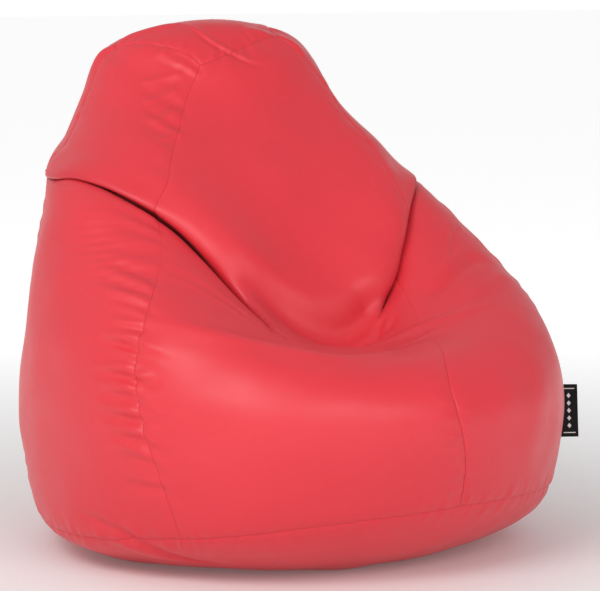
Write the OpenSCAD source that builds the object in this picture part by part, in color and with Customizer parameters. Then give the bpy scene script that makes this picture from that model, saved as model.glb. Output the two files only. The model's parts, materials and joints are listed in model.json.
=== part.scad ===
// Bean bag chair: a six-panel teardrop cover, pressed into a seat.
// X runs across the seat, the sitter looks along -Y, and Z is up from the floor.

/* [Overall size] */
// Width across the belly, side to side
belly_w = 850; // [700:10:1000]
// Depth at the belly, front to back
belly_d = 860; // [700:10:1000]
// Height from the floor to the crown
total_h = 812; // [680:4:960]

/* [Cover] */
// Thickness of the coated fabric
cover_t = 2; // [1.5:0.1:2.5]
// Half the gap that is left for an upright seam
seam_gap = 1.5; // [1.3:0.1:2]
// Half the width of a seam ridge
seam_half = 1; // [0.6:0.1:1.2]

/* [Inside] */
// Depth of the liner below the cover's outer face
liner_depth = 9; // [8.5:0.5:12]
// Thickness of the liner cloth
liner_t = 1.5; // [1:0.1:2]
// Room between the liner and the beads
fill_gap = 0.5; // [0.3:0.1:2]

/* [Zip] */
// Height of the zip's lower end
zip_low = 212; // [206:2:220]
// Height of the zip's upper end
zip_high = 552; // [540:2:552]
// Width of one zip tape
tape_w = 14; // [12:0.5:16]
// Length of the pull tab below its eye
pull_l = 24; // [18:1:26]

/* [Label] */
// Height of the folded side label
label_h = 84; // [60:2:90]
// How far the label stands out from its seam
label_w = 32; // [24:1:36]
// Thickness of the folded label
label_t = 1.2; // [0.8:0.1:1.6]

/* [Smoothness] */
// Steps around the whole bag
around = 48; // [36:12:60]
// Steps across one upright panel
across = 9; // [6:1:10]

/* [Hidden] */

COVER = "#E84A55";
THREAD = "#C93A45";
LINER = "#EDEBE6";
BEADS = "#F7F7F4";
TAPE = "#8E1F29";
METAL = "#B9BBBD";
INK = "#17181A";

// The skin passes through these rings, numbered from 0 at the floor to 14 at the crown.
// A ring is given by its points at the side, at the front and at the back, for a bag of
// 850 x 860 x 812 mm:
// [centre x, half width, side y, side z, front y, front z, back y, back z,
//  how pointed the front is in plan, how late the front dips, sideways shift at the front]
RINGS = [
    [  0,   0,   0,   0,    0,   0,   0,   0, 0.0, 2.0,  0],  // middle of the base
    [  0, 240,  10,   0, -200,   0, 255,   0, 0.0, 2.0,  0],  // edge of the flat contact patch
    [  0, 340,   5,  22, -320,  36, 350,  14, 0.0, 2.0,  0],  // turn of the base
    [  0, 400,   0,  66, -398, 106, 392,  38, 0.0, 2.0,  0],  // base seam
    [  0, 423,   0, 190, -433, 210, 415, 150, 0.0, 2.0,  0],  // belly
    [ -2, 414,   5, 310, -423, 285, 417, 310, 0.0, 2.0,  0],  // upper belly
    [-10, 384,  25, 418, -362, 333, 418, 450, 0.0, 2.0,  5],  // front edge of the seat
    [-22, 330,  78, 514, -255, 336, 418, 560, 0.2, 2.5, 15],  // seat
    [-30, 288, 155, 584, -150, 332, 420, 620, 0.3, 4.0, 30],  // crease between seat and back
    [-25, 253, 186, 622, -125, 410, 420, 655, 0.3, 4.0, 28],  // foot of the backrest
    [-21, 208, 240, 686,  -20, 540, 420, 700, 0.2, 3.0, 16],  // middle of the backrest
    [ -7, 185, 275, 750,  100, 670, 412, 755, 0.1, 2.0,  6],  // upper backrest
    [ -3, 140, 272, 787,  155, 750, 375, 788, 0.0, 2.0,  0],  // top seam
    [ -2,  62, 265, 807,  206, 799, 324, 804, 0.0, 2.0,  0],  // crown
    [ -2,   0, 262, 812,  262, 812, 262, 812, 0.0, 2.0,  0]]; // middle of the crown
LAST_RING = len(RINGS) - 1;
BASE_RING = 3;
TOP_RING = 12;
FLAT_RING = 0.9;
CROWN_RING = 13.6;
MOUTH_RING = 13.2;

// Where each upright seam stands, in degrees from the front towards +X, at five levels
// evenly spaced from the base seam to the top seam.
SEAMS = [
    [-51, -60, -50, -46, -26],  // front left
    [ 11,   7,  24,  39,  35],  // front right
    [ 68,  66,  78,  88,  95],  // right, with the label
    [130, 128, 136, 150, 162],  // back right
    [187, 187, 185, 196, 215],  // back, with the zip
    [246, 241, 248, 260, 275]]; // left
LABEL_SEAM = 2;
ZIP_SEAM = 4;

sx = belly_w / 850;
sy = belly_d / 860;
sz = total_h / 812;

// Smooth curve through b and c, with a and d as its neighbours.
function curve(a, b, c, d, t) =
    0.5 * (2 * b + (c - a) * t + (2 * a - 5 * b + 4 * c - d) * t * t
        + (3 * b - a - 3 * c + d) * t * t * t);

function pick(list, i) = list[max(0, min(len(list) - 1, i))];

function along(list, u) =
    let (i = max(0, min(len(list) - 2, floor(u))))
    curve(pick(list, i - 1), list[i], list[i + 1], pick(list, i + 2), u - i);

// A point of the skin: a is the angle from the front, v is the ring number.
function skin(a, v) =
    let (r = along(RINGS, v), c = cos(a), k = abs(c), front = c > 0)
    let (reach = front ? k * (1 - r[8]) + r[8] * pow(k, 3) : k)
    let (dip = front ? pow(k, r[9]) : k * k)
    [sx * (r[0] + r[1] * sin(a) + (front ? r[10] * c * c : 0)),
     sy * (r[2] + ((front ? r[4] : r[6]) - r[2]) * reach),
     sz * max(0, r[3] + ((front ? r[5] : r[7]) - r[3]) * dip)];

function unit(p) = p / norm(p);

function normal(a, v) =
    unit(cross(skin(a + 1, v) - skin(a - 1, v), skin(a, v + 0.03) - skin(a, v - 0.03)));

// The same point, moved inwards by depth.
function deep(a, v, depth) = depth == 0 ? skin(a, v) : skin(a, v) - depth * normal(a, v);

// The angle that lies mm along the ring from angle a.
function beside(a, v, mm) = a + mm * 2 / norm(skin(a + 1, v) - skin(a - 1, v));

function seam_level(v) = (v - BASE_RING) / (TOP_RING - BASE_RING) * 4;
function seam_angle(k, v) = along(SEAMS[k % 6], seam_level(v)) + (k > 5 ? 360 : 0);

function ease(t) = let (u = max(0, min(1, t))) u * u * (3 - 2 * u);

// Room beside a seam: wider where the zip lies.
ZIP_ROOM = 10;
function room(k, v) =
    seam_gap + (k % 6 == ZIP_SEAM ? ZIP_ROOM * ease((v - 4.1) / 0.2) * ease((7.4 - v) / 0.2) : 0);

function steps(first, last, n) = [for (i = [0:n]) first + (last - first) * i / n];

// Faces of a closed band of rings that each have n points.
function wall(rings, n, flip) =
    [for (i = [0:rings - 2], j = [0:n - 1])
        let (a = i * n + j, b = i * n + (j + 1) % n, c = a + n, d = b + n)
        each flip ? [[a, b, d], [a, d, c]] : [[a, d, b], [a, c, d]]];

function shifted(faces, by) = [for (f = faces) [for (i = f) i + by]];
function counting(first, n) = [for (i = [0:n - 1]) first + i];
function backwards(list) = [for (i = [len(list) - 1:-1:0]) list[i]];

ANGLES = [for (j = [0:around - 1]) 360 * j / around];

// A solid that fills the skin at a given depth.
module filled(levels, depth) {
    n = around;
    rows = len(levels);
    polyhedron(
        [for (v = levels, a = ANGLES) deep(a, v, depth)],
        concat(wall(rows, n, false), [counting(0, n)], [backwards(counting((rows - 1) * n, n))]));
}

// A shell between two depths. open_low and open_high say which ends stay open.
module shell(levels, outer, inner, open_low, open_high) {
    n = around;
    rows = len(levels);
    m = rows * n;
    last = (rows - 1) * n;
    low_rim = [for (j = [0:n - 1]) let (k = (j + 1) % n)
        each [[j, k, m + k], [j, m + k, m + j]]];
    high_rim = [for (j = [0:n - 1]) let (k = (j + 1) % n)
        each [[last + j, m + last + k, last + k], [last + j, m + last + j, m + last + k]]];
    polyhedron(
        [for (d = [outer, inner], v = levels, a = ANGLES) deep(a, v, d)],
        concat(
            wall(rows, n, false),
            shifted(wall(rows, n, true), m),
            open_low ? low_rim : [counting(0, n), backwards(counting(m, n))],
            open_high ? high_rim : [backwards(counting(last, n)), counting(m + last, n)]));
}

// A four-sided bar through a list of [outer left, outer right, inner right, inner left].
module bar(sections, closed) {
    n = len(sections);
    turns = closed ? n : n - 1;
    polyhedron(
        [for (s = sections) each s],
        concat(
            [for (i = [0:turns - 1], j = [0:3])
                let (a = 4 * i + j, b = 4 * i + (j + 1) % 4)
                let (c = 4 * ((i + 1) % n) + j, d = 4 * ((i + 1) % n) + (j + 1) % 4)
                each [[a, b, d], [a, d, c]]],
            closed ? [] : [[3, 2, 1, 0], [4 * n - 4, 4 * n - 3, 4 * n - 2, 4 * n - 1]]));
}

PANEL_LEVELS = steps(BASE_RING + 0.02, TOP_RING - 0.03, 27);

// One upright panel, between seam k and the next one.
module panel(k) {
    n = across + 1;
    rows = len(PANEL_LEVELS);
    m = rows * n;
    function at(i, v) =
        let (left = beside(seam_angle(k, v), v, room(k, v)))
        let (right = beside(seam_angle(k + 1, v), v, -room(k + 1, v)))
        left + (right - left) * i / across;
    function quad(a, b, c, d) = [[a, d, b], [a, c, d]];
    faces = [for (i = [0:rows - 2], j = [0:across - 1]) let (a = i * n + j) each
        concat(quad(a, a + 1, a + n, a + n + 1), shifted(quad(a + 1, a, a + n + 1, a + n), m))];
    ends = [for (j = [0:across - 1]) let (t = (rows - 1) * n + j) each
        concat(quad(j + 1, j, j + 1 + m, j + m), quad(t, t + 1, t + m, t + 1 + m))];
    sides = [for (i = [0:rows - 2]) let (l = i * n, r = i * n + across) each
        concat(quad(l, l + n, l + m, l + n + m), quad(r + n, r, r + n + m, r + m))];
    color(COVER) polyhedron(
        [for (d = [0, cover_t], v = PANEL_LEVELS, i = [0:across]) deep(at(i, v), v, d)],
        concat(faces, ends, sides));
}

module front_panel() { panel(0); }
module front_right_panel() { panel(1); }
module back_right_panel() { panel(2); }
module back_panel() { panel(3); }
module back_left_panel() { panel(4); }
module front_left_panel() { panel(5); }

LOW_LEVELS = concat([FLAT_RING, 1.15], steps(1.4, BASE_RING - 0.03, 5));
HIGH_LEVELS = concat(steps(TOP_RING + 0.03, 13, 3), [13.3, CROWN_RING]);
BODY_LEVELS = concat([FLAT_RING, 1.4, 1.9, 2.4], steps(BASE_RING, TOP_RING, 20), [12.4, 12.8]);

module top_panel() { color(COVER) shell(HIGH_LEVELS, 0, cover_t, true, false); }

module base_panel() { color(COVER) shell(LOW_LEVELS, 0, cover_t, false, true); }

module inner_liner() {
    levels = concat(BODY_LEVELS, [MOUTH_RING]);
    color(LINER) shell(levels, liner_depth, liner_depth + liner_t, false, true);
}

// The lid of the liner's filling mouth.
module liner_closure() {
    color(LINER) shell([MOUTH_RING + 0.03, CROWN_RING], liner_depth, liner_depth + liner_t, true, false);
}

module bead_fill() {
    color(BEADS) filled(concat(BODY_LEVELS, [MOUTH_RING, CROWN_RING]), liner_depth + liner_t + fill_gap);
}

SEAM_TOP = 0.4;
SEAM_BOTTOM = 4;

// The bar of upright seam k between two levels.
module seam_bar(k, low, high, n) {
    function corner(v, side, depth) = deep(beside(seam_angle(k, v), v, side * seam_half), v, depth);
    bar([for (v = steps(low, high, n)) [
        corner(v, -1, SEAM_TOP), corner(v, 1, SEAM_TOP),
        corner(v, 1, SEAM_BOTTOM), corner(v, -1, SEAM_BOTTOM)]], false);
}

module panel_seams() {
    low = BASE_RING + 0.03;
    high = TOP_RING - 0.04;
    color(THREAD) {
        for (k = [0:5]) if (k != ZIP_SEAM) seam_bar(k, low, high, 27);
        seam_bar(ZIP_SEAM, low, 4.1, 4);
        seam_bar(ZIP_SEAM, 7.4, high, 14);
    }
}

// A seam that runs right round the bag, at ring v.
module ring_seam(v, half) {
    bar([for (a = ANGLES) [
        deep(a, v - half, SEAM_TOP), deep(a, v - half, SEAM_BOTTOM),
        deep(a, v + half, SEAM_BOTTOM), deep(a, v + half, SEAM_TOP)]], true);
}

module base_seam() { color(THREAD) ring_seam(BASE_RING - 0.005, 0.01); }

module top_seam() { color(THREAD) ring_seam(TOP_RING, 0.015); }

// The label turns about its sewn edge, which stands upright on the belly.
LABEL_LEVEL = 4.07;
LABEL_AIR = 1.4;
LABEL_EDGE = skin(seam_angle(LABEL_SEAM, LABEL_LEVEL), LABEL_LEVEL);
LABEL_OUT = normal(seam_angle(LABEL_SEAM, LABEL_LEVEL), LABEL_LEVEL);
LABEL_TURN = atan2(LABEL_OUT[1], LABEL_OUT[0]);
LABEL_PIN = LABEL_EDGE + LABEL_AIR * [cos(LABEL_TURN), sin(LABEL_TURN), 0];

module side_label() {
    color(INK) translate(LABEL_PIN - [0, 0, label_h / 2]) rotate([0, 0, LABEL_TURN]) {
        cylinder(r = 0.9, h = label_h, $fn = 24);
        translate([0, -label_t / 2, 0]) cube([label_w, label_t, label_h]);
    }
}

// The zip stands upright in the back seam. Its parts are placed from the middle of the
// zip, with Y outwards from the back of the tape.
ZIP_X = skin(seam_angle(ZIP_SEAM, 5.5), 5.5)[0];
ZIP_Y = skin(seam_angle(ZIP_SEAM, 5.5), 5.5)[1] - 6.7;
TAPE_T = 1.2;
TEETH_W = 4.2;
TEETH_T = 2.4;
TOOTH_PITCH = 4;
TOOTH_H = 2.4;
SLIDER_H = 16;
SLIDER_W = 12;
SLIDER_AIR = 0.4;
PLATE_T = 1.6;
PIN_UP = 2.4;
PIN_R = 0.9;
EYE_R = 2;
EYE_BORE = 1.2;
SLIDER_Z = zip_high - 14;
PLATE_Y = TAPE_T + TEETH_T + SLIDER_AIR;
PIN_Y = PLATE_Y + PLATE_T + PIN_UP;
PIN_Z = SLIDER_Z + 2;

module at_zip() { translate([ZIP_X, ZIP_Y, 0]) children(); }

module zip_tape(side) {
    color(TAPE) at_zip() translate([side > 0 ? 0.2 : -tape_w - 0.2, 0, zip_low - 6])
        cube([tape_w, TAPE_T, zip_high - zip_low + 12]);
}

// A spine with a row of teeth. The two rows mesh, half a pitch apart.
module zip_teeth(side) {
    count = floor((zip_high - zip_low - 8) / TOOTH_PITCH);
    spine_w = 1.6;
    color(METAL) at_zip() {
        translate([side > 0 ? TEETH_W - spine_w : -TEETH_W, TAPE_T, zip_low])
            cube([spine_w, TEETH_T, zip_high - zip_low]);
        for (i = [0:count - 1])
            translate([side > 0 ? -0.8 : -TEETH_W + spine_w, TAPE_T,
                       zip_low + 2.6 + i * TOOTH_PITCH + (side > 0 ? TOOTH_PITCH / 2 : 0)])
                cube([TEETH_W - spine_w + 0.8, TEETH_T, TOOTH_H - 0.8]);
    }
}

module zip_tape_left() { zip_tape(-1); }
module zip_tape_right() { zip_tape(1); }
module zip_teeth_left() { zip_teeth(-1); }
module zip_teeth_right() { zip_teeth(1); }

module zip_stop(z) {
    color(METAL) at_zip() translate([-TEETH_W - 0.6, TAPE_T, z])
        cube([2 * TEETH_W + 1.2, TEETH_T, 3]);
}

module zip_top_stop() { zip_stop(zip_high + 0.2); }

module zip_bottom_stop() { zip_stop(zip_low - 3.2); }

module zip_slider() {
    flange = 1.2;
    lug = 1.2;
    lug_x = 3.6;
    color(METAL) at_zip() translate([0, 0, SLIDER_Z - SLIDER_H / 2]) {
        translate([-SLIDER_W / 2, PLATE_Y, 0]) cube([SLIDER_W, PLATE_T, SLIDER_H]);
        for (x = [-SLIDER_W / 2, SLIDER_W / 2 - flange])
            translate([x, TAPE_T + SLIDER_AIR, 0])
                cube([flange, PLATE_Y - TAPE_T - SLIDER_AIR, SLIDER_H]);
        for (x = [-lug_x - lug, lug_x])
            translate([x, PLATE_Y + PLATE_T, SLIDER_H / 2]) cube([lug, PIN_UP + PIN_R, 4]);
        translate([-lug_x - lug / 2, PIN_Y, SLIDER_H / 2 + 2]) rotate([0, 90, 0])
            cylinder(r = PIN_R, h = 2 * lug_x + lug, $fn = 32);
    }
}

module zip_pull() {
    eye_w = 5;
    tab_w = 7;
    tab_t = 1.6;
    color(METAL) at_zip() translate([0, PIN_Y, PIN_Z]) difference() {
        union() {
            translate([-eye_w / 2, 0, 0]) rotate([0, 90, 0]) cylinder(r = EYE_R, h = eye_w, $fn = 32);
            translate([-eye_w / 2, -tab_t / 2, -8]) cube([eye_w, tab_t, 8]);
            translate([-tab_w / 2, -tab_t / 2, -pull_l]) cube([tab_w, tab_t, pull_l - 6]);
        }
        translate([-eye_w, 0, 0]) rotate([0, 90, 0]) cylinder(r = EYE_BORE, h = 2 * eye_w, $fn = 32);
        translate([0, tab_t, -pull_l + 5]) rotate([90, 0, 0]) cylinder(r = 1.6, h = 2 * tab_t, $fn = 32);
    }
}

bead_fill();
inner_liner();
liner_closure();
front_panel();
front_right_panel();
back_right_panel();
back_panel();
back_left_panel();
front_left_panel();
top_panel();
base_panel();
panel_seams();
base_seam();
top_seam();
side_label();
zip_tape_left();
zip_tape_right();
zip_teeth_left();
zip_teeth_right();
zip_top_stop();
zip_bottom_stop();
zip_slider();
zip_pull();
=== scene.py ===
import json
import math

import bpy
import numpy as np
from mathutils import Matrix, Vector
from mathutils.bvhtree import BVHTree


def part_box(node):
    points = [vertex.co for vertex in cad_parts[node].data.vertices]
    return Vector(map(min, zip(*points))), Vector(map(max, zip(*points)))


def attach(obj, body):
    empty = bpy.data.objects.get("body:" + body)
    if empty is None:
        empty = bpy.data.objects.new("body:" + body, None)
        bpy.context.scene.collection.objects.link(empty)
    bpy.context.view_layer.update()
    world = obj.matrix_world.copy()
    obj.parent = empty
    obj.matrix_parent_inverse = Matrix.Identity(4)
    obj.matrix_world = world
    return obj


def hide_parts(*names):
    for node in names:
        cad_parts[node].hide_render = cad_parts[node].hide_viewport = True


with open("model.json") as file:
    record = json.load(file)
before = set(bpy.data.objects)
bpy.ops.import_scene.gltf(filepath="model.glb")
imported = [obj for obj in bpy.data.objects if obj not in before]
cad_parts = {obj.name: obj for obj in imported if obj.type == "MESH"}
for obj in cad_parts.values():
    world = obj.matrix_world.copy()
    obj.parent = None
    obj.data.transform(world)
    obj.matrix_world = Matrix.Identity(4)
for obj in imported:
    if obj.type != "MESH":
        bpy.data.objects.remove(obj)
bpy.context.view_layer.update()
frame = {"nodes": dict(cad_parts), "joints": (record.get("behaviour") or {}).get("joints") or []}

MM = 0.001

# ---------------------------------------------------------------- camera and light

AZIMUTH = -28.0
ELEVATION = 7.0
DISTANCE = 4.5
PIXELS_PER_METRE = 640.0
IMAGE_WIDTH = 600.0
SENSOR = 36.0
AIM = Vector((0.016, -0.008, 0.388))


def add_object(name, data):
    thing = bpy.data.objects.new(name, data)
    bpy.context.scene.collection.objects.link(thing)
    return thing


def add_camera():
    a, e = math.radians(AZIMUTH), math.radians(ELEVATION)
    back = Vector((math.sin(a) * math.cos(e), -math.cos(a) * math.cos(e), math.sin(e)))
    data = bpy.data.cameras.new("camera")
    data.sensor_width = SENSOR
    data.lens = PIXELS_PER_METRE * DISTANCE / IMAGE_WIDTH * SENSOR
    camera = add_object("camera", data)
    camera.location = AIM + DISTANCE * back
    camera.rotation_euler = (-back).to_track_quat("-Z", "Y").to_euler()
    bpy.context.scene.camera = camera


def add_light(name, place, size, watts, aim=(0, 0, 0.4)):
    data = bpy.data.lights.new(name, "AREA")
    data.shape = "RECTANGLE"
    data.size, data.size_y = size
    data.energy = watts
    light = add_object(name, data)
    light.location = place
    away = Vector(aim) - Vector(place)
    light.rotation_euler = away.to_track_quat("-Z", "Y").to_euler()


def add_world():
    """A white surround, a little darker on the right and brighter high on the left."""
    world = bpy.data.worlds.new("studio")
    world.use_nodes = True
    tree = world.node_tree
    where = tree.nodes.new("ShaderNodeTexCoord").outputs["Generated"]
    background = tree.nodes["Background"]
    total = None
    for direction, start, end, low, high in (
            ((0.47, 0.88, 0.0), 0.90, 0.98, 0.50, 1.05),
            ((-0.80, -0.50, 0.33), 0.0, 1.0, 0.0, 0.15),
            ((0.62, -0.48, 0.62), 0.0, 1.0, 0.0, -0.15)):
        dot = tree.nodes.new("ShaderNodeVectorMath")
        dot.operation = "DOT_PRODUCT"
        dot.inputs[1].default_value = direction
        tree.links.new(where, dot.inputs[0])
        scale = tree.nodes.new("ShaderNodeMapRange")
        for key, value in zip(("From Min", "From Max", "To Min", "To Max"), (start, end, low, high)):
            scale.inputs[key].default_value = value
        tree.links.new(dot.outputs["Value"], scale.inputs["Value"])
        if total is None:
            total = scale.outputs["Result"]
            continue
        plus = tree.nodes.new("ShaderNodeMath")
        plus.operation = "ADD"
        tree.links.new(total, plus.inputs[0])
        tree.links.new(scale.outputs["Result"], plus.inputs[1])
        total = plus.outputs[0]
    background.inputs["Color"].default_value = (1.0, 1.0, 1.0, 1.0)
    tree.links.new(total, background.inputs["Strength"])
    bpy.context.scene.world = world
    bpy.context.scene.view_settings.view_transform = "Standard"


def add_studio():
    add_world()
    add_light("key", (-3.2, -2.1, 3.2), (2.4, 1.8), 80)
    add_light("front", (-0.2, -4.2, 2.2), (3.2, 2.0), 54)
    mesh = bpy.data.meshes.new("floor")
    r = 30.0
    mesh.from_pydata([(-r, -r, -MM), (r, -r, -MM), (r, r, -MM), (-r, r, -MM)], [], [(0, 1, 2, 3)])
    floor = add_object("floor", mesh)
    n = Nodes("pale_floor_with_painted_glow")
    # The floor glows: its emission is 0.08 within 0.35 m of the middle and rises to 0.55 at 2.4 m, a painted
    # glow that whitens the far floor.
    distance = n.add("ShaderNodeVectorMath", operation="LENGTH")
    n.join(n.place, distance.inputs[0])
    n.set(Base_Color=(0.82, 0.82, 0.82, 1), Roughness=0.9, Emission_Color=(1, 1, 1, 1))
    n.join(n.ramp(distance.outputs["Value"], 0.08, 0.55, 0.35, 2.4), n.shader.inputs["Emission Strength"])
    mesh.materials.append(n.material)


# ---------------------------------------------------------------- the skin of the bag

# The same rings as the CAD part, in millimetres: centre x, half width, side y, side z,
# front y, front z, back y, back z, point of the front, lateness of the dip, front shift.
RINGS = np.array([
    [0, 0, 0, 0, 0, 0, 0, 0, 0.0, 2.0, 0],
    [0, 240, 10, 0, -200, 0, 255, 0, 0.0, 2.0, 0],
    [0, 340, 5, 22, -320, 36, 350, 14, 0.0, 2.0, 0],
    [0, 400, 0, 66, -398, 106, 392, 38, 0.0, 2.0, 0],
    [0, 423, 0, 190, -433, 210, 415, 150, 0.0, 2.0, 0],
    [-2, 414, 5, 310, -423, 285, 417, 310, 0.0, 2.0, 0],
    [-10, 384, 25, 418, -362, 333, 418, 450, 0.0, 2.0, 5],
    [-22, 330, 78, 514, -255, 336, 418, 560, 0.2, 2.5, 15],
    [-30, 288, 155, 584, -150, 332, 420, 620, 0.3, 4.0, 30],
    [-25, 253, 186, 622, -125, 410, 420, 655, 0.3, 4.0, 28],
    [-21, 208, 240, 686, -20, 540, 420, 700, 0.2, 3.0, 16],
    [-7, 185, 275, 750, 100, 670, 412, 755, 0.1, 2.0, 6],
    [-3, 140, 272, 787, 155, 750, 375, 788, 0.0, 2.0, 0],
    [-2, 62, 265, 807, 206, 799, 324, 804, 0.0, 2.0, 0],
    [-2, 0, 262, 812, 262, 812, 262, 812, 0.0, 2.0, 0]])
# The angles of the six upright seams at five levels from the base seam to the top seam.
# The last three stand as in the CAD part. The first three don't: they are up to 1.5, 20
# and 13 degrees from their CAD places, the second and third from the seat upwards.
SEAMS = np.array([
    [-51, -60, -48.5, -46, -26],
    [11, 7, 26, 58, 50],
    [68, 66, 78, 98, 108],
    [130, 128, 136, 150, 162],
    [187, 187, 185, 196, 215],
    [246, 241, 248, 260, 275]])
PANELS = ["front_panel", "front_right_panel", "back_right_panel",
          "back_panel", "back_left_panel", "front_left_panel"]
BASE_RING, TOP_RING, POLE = 3.0, 12.0, 14.0
ZIP_SEAM = 4
CREASE = 7.97

# Columns in each panel, and how strongly they crowd towards the seams.
COLS = 130
ACROSS = 6 * COLS
EDGE_CROWDING = 0.7


def along(table, u):
    """Catmull-Rom through the rows of a table, at row numbers u."""
    last = len(table) - 1
    i = np.clip(np.floor(u).astype(int), 0, last - 1)
    t = (u - i)[..., None]
    a, b = table[np.maximum(i - 1, 0)], table[i]
    c, d = table[i + 1], table[np.minimum(i + 2, last)]
    return 0.5 * (2 * b + (c - a) * t + (2 * a - 5 * b + 4 * c - d) * t ** 2
                  + (3 * b - a - 3 * c + d) * t ** 3)


def skin(angle, level):
    """Points of the smooth skin, in metres. The angle runs from the front towards +X."""
    r = along(RINGS, level)
    s, c = np.sin(np.radians(angle)), np.cos(np.radians(angle))
    k, front = np.abs(c), c > 0
    reach = np.where(front, k * (1 - r[..., 8]) + r[..., 8] * k ** 3, k)
    dip = np.where(front, k ** r[..., 9], k * k)
    x = r[..., 0] + r[..., 1] * s + np.where(front, r[..., 10] * c * c, 0)
    y = r[..., 2] + (np.where(front, r[..., 4], r[..., 6]) - r[..., 2]) * reach
    z = r[..., 3] + (np.where(front, r[..., 5], r[..., 7]) - r[..., 3]) * dip
    return np.stack([x, y, np.maximum(z, 0)], -1) * MM


def angle_at(position, level):
    """The angle at a position round the bag, counted in panels, and a level."""
    inside = np.clip(level, BASE_RING, TOP_RING)
    table = along(SEAMS.T, (inside - BASE_RING) / (TOP_RING - BASE_RING) * 4)
    table = np.concatenate([table, table[..., :1] + 360], axis=-1)
    k = np.floor(position).astype(int)
    left = np.take_along_axis(table, k[..., None], -1)[..., 0]
    right = np.take_along_axis(table, k[..., None] + 1, -1)[..., 0]
    return left + (right - left) * (position - k)


def ease(t):
    u = np.clip(t, 0, 1)
    return u * u * (3 - 2 * u)


def base_edge(angle):
    """The level of the base seam: it sits a little higher on the right."""
    return BASE_RING + 0.02 + 0.17 * np.sin(np.radians(angle + 12))


# How far each corner of the six-sided top stands above its place, in levels.
CORNER_LIFT = np.array([0.0, 0.50, 0.30, 0.0, -0.10, -0.35, 0.0])


def top_edge(position):
    """The level of the top seam: it drops at each corner of the six-sided top."""
    fraction = position % 1
    corner = np.interp(position, np.arange(7), CORNER_LIFT)
    return TOP_RING + 0.12 - 0.36 * np.abs(2 * fraction - 1) ** 2.5 + corner


def panel_rows(step, fine):
    """Rows from the base seam to the top seam, closer together at the crease."""
    rows = [BASE_RING]
    while rows[-1] < TOP_RING:
        rows.append(rows[-1] + step - fine * math.exp(-((rows[-1] - CREASE) / 0.35) ** 2))
    rows = np.array(rows)
    return BASE_RING + (rows - BASE_RING) * (TOP_RING - BASE_RING) / (rows[-1] - BASE_RING)


def whole_grid(positions, rows, base_rows, top_rows):
    """Angles and levels from the middle of the base to the middle of the top."""
    place = np.broadcast_to(positions, (len(rows), len(positions)))
    down = rows[:, None]
    v = down + (top_edge(positions) - TOP_RING) * ease((down - 10.5) / 1.5)
    v = v + (base_edge(angle_at(place, v)) - BASE_RING) * ease((4.2 - down) / 1.2)
    a = angle_at(place, v)
    t = np.linspace(0, 1, base_rows, endpoint=False)[:, None]
    low_v, low_a = v[:1] * t, np.repeat(a[:1], base_rows, axis=0)
    t = np.linspace(0, 1, top_rows + 1)[1:, None]
    high_v, high_a = v[-1:] + (POLE - v[-1:]) * t, np.repeat(a[-1:], top_rows, axis=0)
    return np.vstack([low_a, a, high_a]), np.vstack([low_v, v, high_v])


def unit(v):
    return v / np.maximum(np.linalg.norm(v, axis=-1, keepdims=True), 1e-9)


def frames(points):
    """Unit vectors at each point of a closed grid: along the row, up the column, outwards."""
    sideways = np.roll(points, -1, axis=1) - np.roll(points, 1, axis=1)
    upwards = np.gradient(points, axis=0)
    out = unit(np.cross(sideways, upwards))
    return unit(sideways), unit(upwards), out


def column_lengths(points):
    steps = np.linalg.norm(np.diff(points, axis=0), axis=-1)
    return np.vstack([np.zeros(points.shape[1]), np.cumsum(steps, axis=0)])


# ---------------------------------------------------------------- the folds

# How the cloth runs through a fold, drawn across it. First the distance up from the
# fold line on the smooth skin, then where that point goes: along the skin and outwards.
# The backrest side rolls over in a tight lip, and the arm side passes under it.
FOLD = np.array([
    [-95, -95, 0], [-64, -64, 0], [-44, -43, -0.6], [-31, -28.5, -2.4], [-22, -18.5, -5.5],
    [-15, -11, -11], [-9, -4, -19], [-4, 1, -26], [0, 3, -27], [3, 0, -19], [6, -5.5, -9.5], [9, -10, -2.5],
    [13, -8, 3.2], [19, 1, 6], [29, 17, 5.6], [47, 42, 3.2], [70, 69, 1], [110, 110, 0]])

# The two folds, as (angle, level, size). The left one turns down at its front end.
LEFT_FOLD = [
    (-132, 7.68, 0.0), (-116, 7.73, 0.25), (-104, 7.79, 0.45), (-92, 7.87, 0.50), (-80, 7.96, 0.60),
    (-67, 7.94, 0.70), (-57, 7.94, 0.80), (-48, 8.03, 1.0), (-41, 8.11, 1.2), (-35, 8.10, 1.35),
    (-30, 7.98, 1.3), (-26, 7.76, 1.1), (-24, 7.46, 0.8), (-23.5, 7.1, 0.4), (-24.5, 6.7, 0.0)]
RIGHT_FOLD = [
    (16.5, 7.80, 0.0), (19, 7.96, 0.6), (22, 8.08, 1.15), (26, 8.13, 1.4), (31, 8.15, 1.4), (37, 8.10, 1.35),
    (44, 8.01, 1.2), (52, 7.90, 1.0), (61, 7.78, 0.8), (73, 7.67, 0.5), (88, 7.6, 0.25), (102, 7.6, 0.0)]


def fold_row(distance):
    """Turns a distance into a row number of FOLD, smoothly."""
    fine = np.linspace(0, len(FOLD) - 1, 600)
    return np.interp(distance, along(FOLD[:, :1], fine)[:, 0], fine)


def fold_frames(route):
    """Points along a fold line, with the directions out of it and up across it, and its size."""
    knots = along(np.array(route, float), np.linspace(0, len(route) - 1, 12 * len(route)))
    a, v, size = knots.T
    path = skin(a, v)
    ahead = unit(np.gradient(path, axis=0))
    out = unit(np.cross(skin(a + 1.5, v) - skin(a - 1.5, v), skin(a, v + 0.1) - skin(a, v - 0.1)))
    return path, out, unit(np.cross(out, ahead)), np.maximum(size, 0)


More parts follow.
